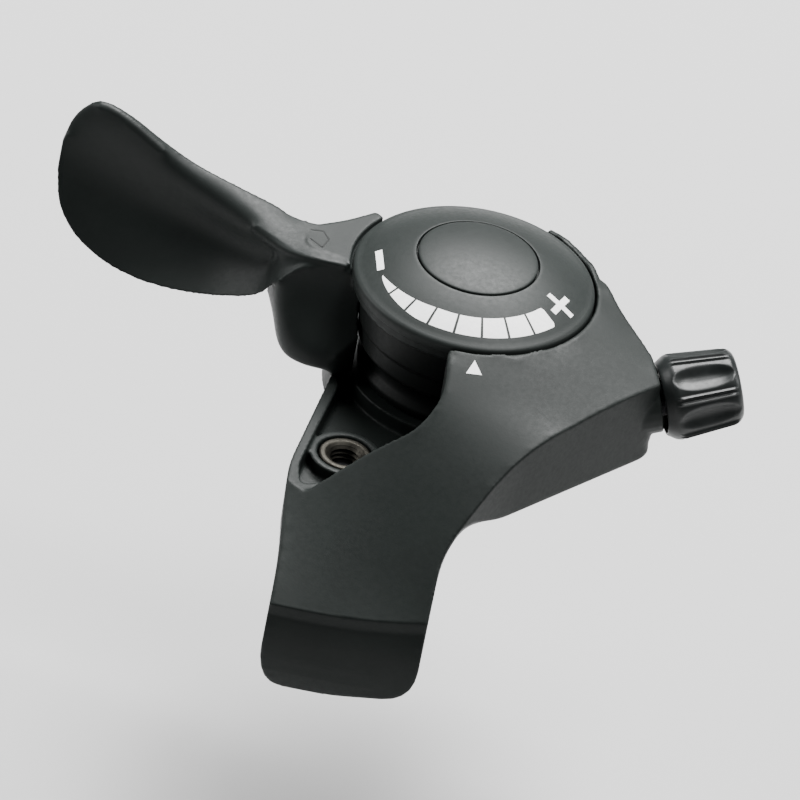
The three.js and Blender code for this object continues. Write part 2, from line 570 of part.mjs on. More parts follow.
function indicatorDial() {
  const inner = DIAL.seam + 0.1;
  const shell = turned([
    ...domePoints(inner, 16.8, 5, 0), [17.2, -3.75], [DIAL.radius, -4], [DIAL.radius, DIAL.bottom],
    [16, DIAL.bottom], ...domePoints(15.6, 9, 3, DIAL.wall + 0.4),
    [7, -1.8], [7, -1.1], [inner, -1.1]]);
  const pegs = pegPlaces().map(([x, y]) => moved(disc(1, -6.2, -3, 16), x, y));
  return joined(shell, ...pegs);
}

const dialCap = () => turned([
  ...domePoints(0, DIAL.seam - 0.2, 4, 0), [DIAL.seam - 0.1, -0.2], [DIAL.seam - 0.1, -0.8],
  [6.6, -0.8], [6.6, -2.3], [5.8, -2.3], [5.8, -0.7], [0, -0.3]]);

// ---- cable adjuster, in its own frame ---------------------------------------------------

function adjusterKnob() {
  const body = turned([
    [4.9, 0], [5.2, 0], [KNOB.nearRadius - 0.1, 1.4], [KNOB.nearRadius, 2],
    [KNOB.farRadius, KNOB.length - 1.4], [KNOB.farRadius - 0.4, KNOB.length - 0.4],
    [KNOB.farRadius - 1, KNOB.length],
    [3.7, KNOB.length], [3.7, 5.2], [2.75, 5.2], [2.75, 3.6], [4.9, 3.6]], 36);
  const flute = new THREE.SphereGeometry(1, 10, 8).scale(1.1, 1.5, 4.6);
  const flutes = Array.from({ length: KNOB.flutes }, (_, i) => {
    const [x, y] = polar(KNOB.nearRadius + 0.5, 60 * i);
    const cut = flute.clone().rotateZ(degrees(60 * i)).translate(x, y, 6.2);
    return toSolid(cut);
  });
  return cutBy(body, ...flutes);
}

const adjusterBolt = () => turned([
  [1.1, -8.5], [2.4, -8.5], [2.4, 5.5], [3.4, 5.5], [3.4, 6.6], [1.1, 6.6]], 24);

const adjusterInsert = () => ring(2.65, 3.3, -9, -0.9);

const ferruleCup = () => turned([
  [1.1, 6.9], [3.4, 6.9], [3.4, 10.9], [2.7, 10.9], [2.7, 7.7], [1.1, 7.7]], 32);

// A cylindrical compression spring round the adjuster's bolt.
function adjusterSpring() {
  const coils = 2.5;
  const pointsPerCoil = 12;
  const rise = 2.5;
  const points = Array.from({ length: coils * pointsPerCoil + 1 }, (_, i) => {
    const [x, y] = polar(3.6, 360 * i / pointsPerCoil);
    return new THREE.Vector3(x, y, 0.55 + rise * i / (coils * pointsPerCoil));
  });
  const wire = new THREE.Shape().absarc(0, 0, 0.32, 0, 2 * Math.PI);
  return toSolid(new THREE.ExtrudeGeometry(wire, {
    steps: coils * 14,
    curveSegments: 6,
    bevelEnabled: false,
    extrudePath: new THREE.CatmullRomCurve3(points),
  }));
}

// ---- assembly ---------------------------------------------------------------------------

const shifter = new THREE.Group();
const mechanism = new THREE.Group();
mechanism.position.set(-CLAMP_CENTRE_X, -BAR.y, -BAR.z);
shifter.add(mechanism);
const adjuster = new THREE.Group();
outletMatrix.decompose(adjuster.position, adjuster.quaternion, adjuster.scale);
mechanism.add(adjuster);

function place(name, solid, slot, group = mechanism) {
  const mesh = new THREE.Mesh(toGeometry(solid), slot);
  mesh.name = name;
  group.add(mesh);
}

place('bracket_housing', bracketHousing(), housingPlastic);
place('base_cover', baseCover(), drumPlastic);
coverScrewPlaces().forEach(([x, y], i) =>
  place(`cover_screw_${i + 1}`, moved(coverScrew(), x, y), darkSteel));
place('pivot_stud', pivotStud(), steel);
place('pivot_screw', pivotScrew(), darkSteel);
place('lock_washer', lockWasher(), steel);
place('disc_spring_lower', discSpring(-8.1, -8.9), steel);
place('disc_spring_upper', discSpring(-7.2, -6.4), steel);
place('clamp_band', clampBand(), darkSteel);
place('clamp_bolt', clampBolt(), darkSteel);
place('clamp_washer', clampWasher(), steel);
place('clamp_nut', clampNut(), steel);

place('thumb_lever', thumbLever(), leverPlastic);
place('cable_drum', cableDrum(), drumPlastic);
place('drum_bushing', ring(3.08, 4.1, -18.2, -10.4), brass);
place('friction_washer_lower', ring(3.4, 9.2, -19.7, -18.7), nylon);
place('friction_washer_upper', ring(3.4, 9.3, -9.9, -9.2), nylon);
place('indicator_dial', indicatorDial(), dialPlastic);
place('dial_cap', dialCap(), dialPlastic);

place('adjuster_insert', adjusterInsert(), darkSteel, adjuster);
place('adjuster_bolt', adjusterBolt(), darkSteel, adjuster);
place('adjuster_knob', adjusterKnob(), knobPlastic, adjuster);
place('adjuster_spring', adjusterSpring(), steel, adjuster);
place('ferrule_cup', ferruleCup(), nylon, adjuster);

export default shifter;
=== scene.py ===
"""The visible surfaces and materials of a left-hand friction thumb shifter.

Shapes are given in millimetres and turned into metres by MM. What sits on the lever, the dial or the
housing is placed about the lever's pivot axis, with zero height at the seam of the dial's centre cap.
The barrel adjuster is placed along its own axis, from its near end outwards.
"""
import json
import math

import bmesh
import bpy
import numpy as np
from mathutils import Matrix, Vector
from mathutils.bvhtree import BVHTree
from mathutils.kdtree import KDTree


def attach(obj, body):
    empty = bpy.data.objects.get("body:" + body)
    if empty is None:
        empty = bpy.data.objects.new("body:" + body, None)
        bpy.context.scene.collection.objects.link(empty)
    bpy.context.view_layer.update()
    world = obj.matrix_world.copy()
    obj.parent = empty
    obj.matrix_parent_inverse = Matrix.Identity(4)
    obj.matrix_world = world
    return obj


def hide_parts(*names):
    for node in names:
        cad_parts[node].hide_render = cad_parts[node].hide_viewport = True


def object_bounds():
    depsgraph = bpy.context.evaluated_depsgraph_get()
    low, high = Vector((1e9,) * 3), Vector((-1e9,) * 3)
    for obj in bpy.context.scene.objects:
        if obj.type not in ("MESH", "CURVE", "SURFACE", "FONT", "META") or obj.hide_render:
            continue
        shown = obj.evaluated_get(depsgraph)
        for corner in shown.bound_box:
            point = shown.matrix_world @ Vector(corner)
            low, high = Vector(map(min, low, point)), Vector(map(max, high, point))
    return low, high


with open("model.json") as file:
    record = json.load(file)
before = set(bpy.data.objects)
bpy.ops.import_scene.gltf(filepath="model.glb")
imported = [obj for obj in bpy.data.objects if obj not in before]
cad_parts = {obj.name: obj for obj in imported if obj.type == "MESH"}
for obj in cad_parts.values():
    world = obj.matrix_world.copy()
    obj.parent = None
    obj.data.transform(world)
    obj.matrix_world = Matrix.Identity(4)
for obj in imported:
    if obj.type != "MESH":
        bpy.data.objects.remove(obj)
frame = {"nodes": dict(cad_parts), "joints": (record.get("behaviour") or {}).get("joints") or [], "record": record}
cad_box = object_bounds()

MM = 0.001
JOINTS = {joint["name"]: joint for joint in frame["joints"]}
PIVOT = Vector(JOINTS["lever_turn"]["pos_m"])
OUTLET = Vector(JOINTS["adjuster_turn"]["pos_m"])
OUTLET_AXIS = Vector(JOINTS["adjuster_turn"]["axis"]).normalized()

# ---------------------------------------------------------------- camera, light and floor

CAMERA_ELEVATION = 35.8      # degrees above the horizon
CAMERA_ROLL = 11.2           # degrees, the dial's axis leans to the right
CAMERA_DISTANCE = 2.0        # metres
CAMERA_WIDTH = 0.1133        # metres across the view at the aim point
AIM = Vector((0.0012, 0.0260, 0.0177))
SENSOR = 36.0
FLOOR_SIZE = 6
FLOOR_DROP = 0.03            # metres from the shifter's lowest point down to the floor


def make_camera():
    tilt = math.radians(CAMERA_ELEVATION)
    roll = math.radians(CAMERA_ROLL)
    back = Vector((0, -math.cos(tilt), math.sin(tilt)))
    level = Vector((1, 0, 0))
    slope = back.cross(level)
    right = math.cos(roll) * level + math.sin(roll) * slope
    up = back.cross(right)
    data = bpy.data.cameras.new("camera")
    data.sensor_width = SENSOR
    data.lens = SENSOR * CAMERA_DISTANCE / CAMERA_WIDTH
    data.clip_start = 0.01
    data.clip_end = 20
    camera = bpy.data.objects.new("camera", data)
    turn = Matrix((right, up, back)).transposed().to_4x4()
    camera.matrix_world = Matrix.Translation(AIM + back * CAMERA_DISTANCE) @ turn
    bpy.context.scene.collection.objects.link(camera)
    bpy.context.scene.camera = camera


def area_light(name, place, size, power):
    """A soft rectangular light that faces the aim point, placed from that point in metres."""
    data = bpy.data.lights.new(name, "AREA")
    data.shape = "RECTANGLE"
    data.size = size[0]
    data.size_y = size[1]
    data.energy = power
    light = bpy.data.objects.new(name, data)
    light.location = AIM + Vector(place)
    light.rotation_euler = (AIM - light.location).to_track_quat("-Z", "Y").to_euler()
    bpy.context.scene.collection.objects.link(light)


def make_lights():
    area_light("key", (0.05, 0.5, 0.8), (0.6, 0.5), 32)
    area_light("top", (0.3, -0.05, 0.9), (0.35, 0.35), 7)
    area_light("left", (-0.85, 0.1, 0.5), (0.3, 0.6), 5)
    area_light("right", (0.85, 0.3, 0.45), (0.25, 0.5), 3.5)
    world = bpy.data.worlds.new("studio")
    world.use_nodes = True
    background = world.node_tree.nodes["Background"]
    background.inputs["Color"].default_value = (1, 1, 1, 1)
    background.inputs["Strength"].default_value = 0.08
    bpy.context.scene.world = world


def make_floor():
    low = cad_box[0][2] - FLOOR_DROP
    bpy.ops.mesh.primitive_plane_add(size=FLOOR_SIZE, location=(0, 0, low))
    floor = bpy.context.object
    floor.name = "floor"
    look = bpy.data.materials.new("floor_paper")
    look.use_nodes = True
    shader = look.node_tree.nodes["Principled BSDF"]
    shader.inputs["Base Color"].default_value = (0.5, 0.5, 0.5, 1)
    shader.inputs["Roughness"].default_value = 0.9
    floor.data.materials.append(look)


# ---------------------------------------------------------------- materials


class Look:
    """A small helper that wires one procedural material."""

    def __init__(self, name):
        self.material = bpy.data.materials.new(name)
        self.material.use_nodes = True
        self.tree = self.material.node_tree
        self.shader = self.tree.nodes["Principled BSDF"]
        self.place = self.node("ShaderNodeTexCoord").outputs["Object"]

    def node(self, kind, **values):
        made = self.tree.nodes.new(kind)
        for key, value in values.items():
            setattr(made, key, value)
        return made

    def link(self, source, target):
        self.tree.links.new(source, target)

    def noise(self, scale, detail=3.0, roughness=0.5):
        made = self.node("ShaderNodeTexNoise")
        made.inputs["Scale"].default_value = scale
        made.inputs["Detail"].default_value = detail
        made.inputs["Roughness"].default_value = roughness
        self.link(self.place, made.inputs["Vector"])
        return made.outputs["Fac"]

    def ramp(self, source, stops):
        made = self.node("ShaderNodeValToRGB")
        ends = made.color_ramp.elements
        while len(ends) < len(stops):
            ends.new(0.5)
        for element, (place, color) in zip(ends, stops):
            element.position = place
            element.color = (*color, 1)
        self.link(source, made.inputs["Fac"])
        return made.outputs["Color"]

    def spread(self, source, low, high):
        """Stretches the middle of a noise over the range from low to high."""
        made = self.node("ShaderNodeMapRange")
        made.inputs["To Min"].default_value = low
        made.inputs["To Max"].default_value = high
        made.inputs["From Min"].default_value = 0.3
        made.inputs["From Max"].default_value = 0.7
        self.link(source, made.inputs["Value"])
        return made.outputs["Result"]

    def bump(self, source, distance, strength, below=None):
        made = self.node("ShaderNodeBump")
        made.inputs["Distance"].default_value = distance
        made.inputs["Strength"].default_value = strength
        self.link(source, made.inputs["Height"])
        if below is not None:
            self.link(below, made.inputs["Normal"])
        return made.outputs["Normal"]

    def set(self, **values):
        for key, value in values.items():
            self.shader.inputs[key.replace("_", " ")].default_value = value


def scaled(color, factor):
    return tuple(channel * factor for channel in color)


def moulded_plastic(name, color, roughness, grain=0.00002, specular=0.2):
    """Spark-eroded satin plastic: fine grain and a faint cloudy tone."""
    look = Look(name)
    clouds = look.noise(70, 4, 0.6)
    tone = look.ramp(clouds, [(0.3, scaled(color, 0.88)), (0.7, scaled(color, 1.12))])
    look.link(tone, look.shader.inputs["Base Color"])
    fine = look.noise(4200, 2, 0.7)
    coarse = look.noise(1500, 3, 0.6)
    look.link(look.spread(coarse, roughness - 0.05, roughness + 0.06), look.shader.inputs["Roughness"])
    first = look.bump(coarse, grain, 0.45)
    look.link(look.bump(fine, grain * 0.6, 0.5, first), look.shader.inputs["Normal"])
    look.set(Specular_IOR_Level=specular)
    return look.material


def metal(name, color, roughness):
    """Plated or blackened steel and brass, with a fine uneven grain."""
    look = Look(name)
    clouds = look.noise(300, 4, 0.6)
    tone = look.ramp(clouds, [(0.3, scaled(color, 0.8)), (0.7, scaled(color, 1.15))])
    look.link(tone, look.shader.inputs["Base Color"])
    marks = look.noise(2600, 2, 0.4)
    look.link(look.spread(marks, roughness - 0.06, roughness + 0.12), look.shader.inputs["Roughness"])
    look.link(look.bump(marks, 0.00001, 0.3), look.shader.inputs["Normal"])
    look.set(Metallic=1.0)
    return look.material


def white_print(name):
    """Pad-printed ink with slightly uneven cover."""
    look = Look(name)
    cover = look.noise(1800, 3, 0.6)
    tone = look.ramp(cover, [(0.3, (0.86, 0.87, 0.86)), (0.6, (0.95, 0.95, 0.94))])
    look.link(tone, look.shader.inputs["Base Color"])
    look.link(look.bump(cover, 0.00001, 0.3), look.shader.inputs["Normal"])
    look.set(Roughness=0.5)
    return look.material


LOOKS = {
    "housing_plastic": moulded_plastic("housing_plastic", (0.0115, 0.0142, 0.0132), 0.46, specular=0.13),
    "lever_plastic": moulded_plastic("lever_plastic", (0.0125, 0.0153, 0.0144), 0.45, specular=0.16),
    "dial_plastic": moulded_plastic("dial_plastic", (0.0150, 0.0182, 0.0171), 0.46, specular=0.18),
    "drum_plastic": moulded_plastic("drum_plastic", (0.007, 0.0083, 0.0079), 0.5, specular=0.13),
    "knob_plastic": moulded_plastic("knob_plastic", (0.0095, 0.0115, 0.0112), 0.37, 0.00001, 0.28),
    "print_white": white_print("print_white"),
    "plated_steel": metal("plated_steel", (0.036, 0.034, 0.029), 0.48),
    "dark_steel": metal("dark_steel", (0.032, 0.032, 0.034), 0.42),
    "brass": metal("brass", (0.62, 0.45, 0.2), 0.3),
    "nylon": moulded_plastic("nylon", (0.6, 0.58, 0.5), 0.5),
}


def dress(obj, slot):
    obj.data.materials.clear()
    obj.data.materials.append(LOOKS[slot])


def dress_cad_nodes():
    """Every carried-over CAD node takes the procedural look of its own slot."""
    for part in frame["record"]["subparts"]:
        node = frame["nodes"][part["node"]]
        for place in node.material_slots:
            place.material = LOOKS[part["material_slot"]]


# ---------------------------------------------------------------- mesh helpers


def link_mesh(name, mesh, body, slot, replaced=(), smooth_below=35):
    """Makes a piece of a mesh: it rides on a body and may stand for CAD nodes."""
    obj = bpy.data.objects.new(name, mesh)
    bpy.context.scene.collection.objects.link(obj)
    mesh.shade_smooth()
    mesh.set_sharp_from_angle(angle=math.radians(smooth_below))
    dress(obj, slot)
    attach(obj, body)
    if replaced:
        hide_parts(*replaced)
    return obj


def mesh_of(name, points, faces):
    """A mesh with doubled points merged and its faces turned outwards."""
    mesh = bpy.data.meshes.new(name)
    mesh.from_pydata([tuple(point) for point in points], [], faces)
    tidy = bmesh.new()
    tidy.from_mesh(mesh)
    bmesh.ops.remove_doubles(tidy, verts=tidy.verts, dist=1e-7)
    bmesh.ops.recalc_face_normals(tidy, faces=tidy.faces)
    tidy.to_mesh(mesh)
    tidy.free()
    return mesh


def outlet_frame():
    """Places the adjuster's own frame, whose Z axis points out of the housing."""
    side = Vector((0, 0, 1)).cross(OUTLET_AXIS).normalized()
    over = OUTLET_AXIS.cross(side)
    turn = Matrix((side, over, OUTLET_AXIS)).transposed().to_4x4()
    return Matrix.Translation(OUTLET) @ turn


AT_PIVOT = Matrix.Translation(PIVOT)
AT_OUTLET = outlet_frame()


def turned(name, profile, where, segments=160, radius_at=None):
    """A body of revolution. The profile's [radius, height] points run round its cut face in mm, and
    radius_at(radius, height, angle) may carve it."""
    points = []
    faces = []
    count = len(profile)
    for step in range(segments):
        angle = 2 * math.pi * step / segments
        for radius, height in profile:
            reach = radius_at(radius, height, angle) if radius_at else radius
            local = Vector((reach * math.cos(angle), reach * math.sin(angle), height)) * MM
            points.append(where @ local)
    for step in range(segments):
        near = step * count
        far = (step + 1) % segments * count
        for i in range(count):
            after = (i + 1) % count
            faces.append((near + i, far + i, far + after, near + after))
    return mesh_of(name, points, faces)


def rounded(profile, reach, steps=4):
    """Rounds the corners of a closed profile. A third value on a point sets its own reach."""
    points = []
    for i, corner in enumerate(profile):
        here = Vector(corner[:2])
        size = corner[2] if len(corner) > 2 else reach
        before = Vector(profile[i - 1][:2]) - here
        after = Vector(profile[(i + 1) % len(profile)][:2]) - here
        start = here + before.normalized() * min(size, 0.45 * before.length)
        end = here + after.normalized() * min(size, 0.45 * after.length)
        if size == 0:
            points.append(tuple(here))
            continue
        for step in range(steps + 1):
            t = step / steps
            points.append(tuple(start * (1 - t) ** 2 + here * 2 * t * (1 - t) + end * t * t))
    return points


# ---------------------------------------------------------------- soft-edged mouldings

VOXEL = 0.2                  # mm, the grid of the mouldings' even meshes
EDGE_ROUNDS = 14             # rounds of averaging that give an edge its radius
EDGE_BAND = (0.7, 1.5)       # mm from a sharp edge, between which broad smoothing fades in
EDGE_SAMPLE = 0.4            # mm between the points kept along a sharp edge

KEEL_SLOPE = 35.8            # degrees, the slant along which the keel's line is measured
KEEL_X = [-29.2, -27.1, -24.9, -22.6, -17.4]
KEEL_RISE = [-10.2, -8.4, -6.3, -5.1, -4.7]
SKIRT_NEAR = -29.8           # X where the skirt starts, and where it meets the hub
SKIRT_FAR = -17.2


def sharp_edge_points(mesh, sharp_angle):
    """Points along every edge where the CAD faces meet at more than sharp_angle."""
    work = bmesh.new()
    work.from_mesh(mesh)
    bmesh.ops.remove_doubles(work, verts=work.verts, dist=1e-6)
    points = []
    for edge in work.edges:
        if len(edge.link_faces) == 2 and edge.calc_face_angle(0) > math.radians(sharp_angle):
            a, b = (vert.co for vert in edge.verts)
            steps = max(1, round((b - a).length / (EDGE_SAMPLE * MM)))
            points.extend(a.lerp(b, i / steps) for i in range(steps + 1))
    work.free()
    return points


def smooth_positions(points, edges, rounds, weight, inflate):
    """Averages each point with its neighbours. inflate pushes back what plain averaging shrinks."""
    count = len(points)
    ends = np.concatenate([edges[:, 0], edges[:, 1]])
    others = np.concatenate([edges[:, 1], edges[:, 0]])
    number = np.maximum(np.bincount(ends, minlength=count), 1)[:, None]
    steps = (0.5, -0.53) if inflate else (0.5,)
    for _ in range(rounds):
        for amount in steps:
            mean = np.stack(
                [np.bincount(ends, weights=points[others, axis], minlength=count) for axis in range(3)], 1)
            points = points + amount * weight * (mean / number - points)
    return points


def voxel_copy(source):
    """The closed shape as an even quad mesh."""
    obj = bpy.data.objects.new("work", source.data.copy())
    bpy.context.scene.collection.objects.link(obj)
    remesh = obj.modifiers.new("voxels", "REMESH")
    remesh.mode = "VOXEL"
    remesh.voxel_size = VOXEL * MM
    graph = bpy.context.evaluated_depsgraph_get()
    mesh = bpy.data.meshes.new_from_object(obj.evaluated_get(graph))
    bpy.data.objects.remove(obj)
    return mesh


def softened(node, name, slot, body, sharp_angle, broad_rounds, melted):
    """The moulding with radiused edges and fair broad faces, from the CAD node's own shape.

    melted(x, y, z) gives from 0 to 1 how far the edges near a place are rounded away.
    """
    source = frame["nodes"][node]
    mesh = voxel_copy(source)
    sharp = sharp_edge_points(source.data, sharp_angle)
    tree = KDTree(len(sharp))
    for i, point in enumerate(sharp):
        tree.insert(point, i)
    tree.balance()
    flat = np.empty(len(mesh.vertices) * 3)
    mesh.vertices.foreach_get("co", flat)
    points = flat.reshape(-1, 3)
    pairs = np.empty(len(mesh.edges) * 2, dtype=np.int64)
    mesh.edges.foreach_get("vertices", pairs)
    edges = pairs.reshape(-1, 2)
    away = np.array([tree.find(point)[2] for point in points])
    broad = np.clip((away / MM - EDGE_BAND[0]) / (EDGE_BAND[1] - EDGE_BAND[0]), 0, 1)
    local = (points - np.array(PIVOT)) / MM
    broad = np.maximum(broad, melted(*local.T))[:, None]
    points = smooth_positions(points, edges, 3, 1.0, False)
    points = smooth_positions(points, edges, EDGE_ROUNDS, 1.0, True)
    points = smooth_positions(points, edges, broad_rounds, broad, False)
    mesh.vertices.foreach_set("co", points.ravel())
    mesh.update()
    mesh.name = name
    return link_mesh(name, mesh, body, slot, [node], 60)


def melted_lever(x, y, z):
    """The skirt is one soft, rounded form below the line where the paddle's keel meets it."""
    slope = math.radians(KEEL_SLOPE)
    rise = y * math.sin(slope) + z * math.cos(slope)
    keel = np.interp(x, KEEL_X, KEEL_RISE)
    down = np.clip((keel - 0.7 - rise) / 1.2, 0, 1)
    out = np.clip((SKIRT_FAR - x) / 1.2, 0, 1)
    near = np.clip((x - SKIRT_NEAR) / 0.6, 0, 1)
    return down * out * near


def melted_nowhere(x, y, z):
    return np.zeros_like(x)


def bevelled(node, body, slot, width):
    """Hardware with its sharp edges broken, from the CAD node's own shape."""
    source = frame["nodes"][node]
    work = bmesh.new()
    work.from_mesh(source.data)
    bmesh.ops.remove_doubles(work, verts=work.verts, dist=1e-6)
    bmesh.ops.dissolve_limit(work, angle_limit=math.radians(1), verts=work.verts, edges=work.edges)
    edges = [edge for edge in work.edges
             if len(edge.link_faces) == 2 and edge.calc_face_angle(0) > math.radians(30)]
    bmesh.ops.bevel(work, geom=edges, offset=width * MM, segments=2, affect="EDGES",
                    profile=0.6, clamp_overlap=True)
    mesh = bpy.data.meshes.new(node + "_piece")
    work.to_mesh(mesh)
    work.free()
    link_mesh(node + "_piece", mesh, body, slot, [node], 40)


# ---------------------------------------------------------------- dial, cap and printed scale

DIAL_RADIUS = 17.4
SEAM_RADIUS = 8.73
SPHERE = 33.0                # the dome's own radius
SEAM_GAP = 0.12              # between the seam's radius and each of the two edges that meet there


def dome(radius):
    """Height of the dome at one radius."""
    return math.sqrt(SPHERE ** 2 - radius ** 2) - math.sqrt(SPHERE ** 2 - SEAM_RADIUS ** 2)


def dome_points(start, end, steps):
    reach = [start + (end - start) * i / steps for i in range(steps + 1)]
    return [(radius, dome(radius), 0) for radius in reach]


def make_dial():
    inner = SEAM_RADIUS + SEAM_GAP
    profile = [
        (inner, -1.1), (inner, dome(inner) - 0.05, 0.16), *dome_points(inner + 0.3, 16.3, 24),
        (17.1, dome(16.85), 0.5), (DIAL_RADIUS, -3.9, 0.4), (DIAL_RADIUS, -4.95, 0.12),
        (17.1, -4.95), (17.1, -4.2), (16, -4.2), (15.6, -4.0), (9, -1.9), (7, -1.8), (7, -1.1)]
    mesh = turned("dial", rounded(profile, 0.08), AT_PIVOT, 192)
    link_mesh("dial", mesh, "lever", "dial_plastic", ["indicator_dial"])


def make_cap():
    edge = SEAM_RADIUS - SEAM_GAP
    profile = [
        (0, dome(0), 0), *dome_points(0.4, edge - 0.35, 14), (edge, dome(edge) - 0.03, 0.2),
        (edge, -0.8), (6.6, -0.8), (6.6, -2.3), (5.8, -2.3), (5.8, -0.7), (0, -0.3, 0)]
    mesh = turned("centre_cap", rounded(profile, 0.1), AT_PIVOT, 160)
    link_mesh("centre_cap", mesh, "lever", "dial_plastic", ["dial_cap"])


def polar(radius, degrees):
    return radius * math.cos(math.radians(degrees)), radius * math.sin(math.radians(degrees))


INK = 0.035                  # mm of ink standing on the plastic
INK_DEPTH = 0.1              # mm that a patch reaches down into the piece under it


def printed(name, corner_at, height_at, body, slot="print_white", across=14, along=6):
    """A thin patch on a surface. corner_at(s, t) gives its plan place for s and t from 0 to 1."""
    points = []
    faces = []
    for layer in (INK, -INK_DEPTH):
        for i in range(across + 1):
            for j in range(along + 1):
                x, y = corner_at(i / across, j / along)
                points.append(PIVOT + Vector((x, y, height_at(x, y) + layer)) * MM)
    row = along + 1
    size = (across + 1) * row
    for i in range(across):
        for j in range(along):
            a = i * row + j
            faces.append((a, a + row, a + row + 1, a + 1))
            faces.append((size + a, size + a + 1, size + a + row + 1, size + a + row))
    rim = [i * row for i in range(across + 1)] + [across * row + j for j in range(1, row)]
    rim += [i * row + along for i in reversed(range(across))] + [j for j in reversed(range(1, along))]
    for a, b in zip(rim, rim[1:] + rim[:1]):
        faces.append((a, b, size + b, size + a))
    link_mesh(name, mesh_of(name, points, faces), body, slot)


def on_dome(x, y):
    return dome(math.hypot(x, y))


SCALE_START = -155.0       # degrees round the dial, the thin end of the scale
SCALE_END = -35.5
BLOCKS = 8
BLOCK_GAP = 0.36           # mm between the blocks


def scale_band(angle):
    """Inner and outer radius of the scale's wedge at one angle."""
    along = (angle - SCALE_START) / (SCALE_END - SCALE_START)
    widening = min(1, along * 2.6)
    inner = 14.15 - 1.15 * widening ** 0.8 - 0.6 * along
    outer = 14.2 + 1.25 * min(1, along * 3.2) ** 0.7
    return inner, outer


def scale_block(index):
    step = (SCALE_END - SCALE_START) / BLOCKS
    first = SCALE_START + step * index
    half_gap = math.degrees(BLOCK_GAP / 2 / 14)
    start = first + (half_gap if index else 0.3)
    end = first + step - (half_gap if index < BLOCKS - 1 else 0)

    def corner_at(s, t):
        angle = start + (end - start) * s
        inner, outer = scale_band(angle)
        if index == BLOCKS - 1:
            corner = max(0.0, (s - 0.88) / 0.12)
            trim = 0.45 * (1 - math.sqrt(max(0.0, 1 - corner ** 2)))
            inner, outer = inner + trim, outer - trim
        return polar(inner + (outer - inner) * t, angle)

    printed(f"scale_block_{index + 1}", corner_at, on_dome, "lever")


def printed_bar(name, centre, heading, length, width):
    """A straight printed bar on the dome, along a heading in degrees."""
    middle = Vector(centre)
    along = Vector(polar(1, heading))
    across = Vector((-along.y, along.x))

    def corner_at(s, t):
        place = middle + along * (s - 0.5) * length + across * (t - 0.5) * width
        return place.x, place.y

    printed(name, corner_at, on_dome, "lever")


MINUS_ANGLE = -169.5         # degrees round the dial
MINUS_RADIUS = 13.9
PLUS_ANGLE = -21.7
PLUS_RADIUS = 13.6
PLUS_STROKE = 0.88
PLUS_ARM = 1.27              # mm from the plus sign's centre to the middle of each short arm


def make_scale():
    for index in range(BLOCKS):
        scale_block(index)
    printed_bar("minus_mark", polar(MINUS_RADIUS, MINUS_ANGLE), MINUS_ANGLE - 90, 4.6, 0.95)
    plus = polar(PLUS_RADIUS, PLUS_ANGLE)
    printed_bar("plus_mark_long", plus, PLUS_ANGLE - 90, 4.3, PLUS_STROKE)
    arm_length = 2 * (PLUS_ARM - PLUS_STROKE / 2)
    for side in (-1, 1):
        place = polar(PLUS_RADIUS + side * PLUS_ARM, PLUS_ANGLE)
        printed_bar(f"plus_mark_arm_{side + 2}", place, PLUS_ANGLE, arm_length, PLUS_STROKE)


def surface_height(piece):
    """Gives the height of a piece's upper surface, in mm, for a plan place."""
    tree = BVHTree.FromObject(piece, bpy.context.evaluated_depsgraph_get())

    def height_at(x, y):
        start = PIVOT + Vector((x, y, 5)) * MM
        hit = tree.ray_cast(start, Vector((0, 0, -1)))[0]
        return (hit.z - PIVOT.z) / MM

    return height_at


INDEX_ANGLE = -83.2          # degrees round the dial
INDEX_TIP = 18.95            # radius of the triangle's tip, and of its base
INDEX_BASE = 21.05
INDEX_HALF_WIDTH = 1.12


def make_index_mark(housing):
    """The triangle on the housing that the scale is read against."""
    apex = Vector(polar(INDEX_TIP, INDEX_ANGLE))
    base = Vector(polar(INDEX_BASE, INDEX_ANGLE))
    across = Vector(polar(INDEX_HALF_WIDTH, INDEX_ANGLE + 90))

    def corner_at(s, t):
        place = apex.lerp(base, t) + across * (2 * s - 1) * max(t, 0.02)
        return place.x, place.y

    printed("index_triangle", corner_at, surface_height(housing), "bracket", across=10, along=10)


# The arrow's corners in plan, in the order that its lines are drawn.
ARROW = [(-23.9, 1.8), (-22.0, 0.2), (-21.3, 2.4), (-22.3, 4.1), (-24.1, 3.9)]
ARROW_LINE = 0.24            # mm, the width of the moulded line


def make_arrow(lever):
    """The small moulded outline arrow on the lever's ledge, left open at its tail. Its lines are thin patches in
    the darker drum plastic: painted shade standing in for the moulded relief.
    """
    height_at = surface_height(lever)
    for index, (start, end) in enumerate(zip(ARROW, ARROW[1:])):
        first = Vector(start)
        run = Vector(end) - first
        side = Vector((-run.y, run.x)).normalized() * ARROW_LINE

        def corner_at(s, t, first=first, run=run, side=side):
            place = first + run * s + side * (t - 0.5)
            return place.x, place.y

        # painted shade: each line of the moulded arrow is a thin dark patch in the drum plastic, in place of the
        # relief's own shade
        printed(f"arrow_shade_line_{index + 1}", corner_at, height_at, "lever", "drum_plastic",
                across=8, along=2)


def make_drum():
    """The cable drum under the lever's hub, with its groove."""
    profile = [
        (4.4, -10.2), (9.9, -10.2, 0.3), (9.9, -6.9), (15.9, -6.9, 0.3), (15.5, -11.4, 0.5),
        (15.15, -11.8, 0.3), (15.1, -14.6, 0.5), (14.5, -15, 0.4), (13.2, -16.2, 0.6),
        (13.2, -17.6, 0.6), (14.5, -18.6, 0.4), (14.3, -19.6, 0.2), (9.6, -19.6), (9.6, -18.4),
        (4.4, -18.4)]
    mesh = turned("drum", rounded(profile, 0.15), AT_PIVOT, 192)
    link_mesh("drum", mesh, "lever", "drum_plastic", ["cable_drum"])


# ---------------------------------------------------------------- adjuster knob

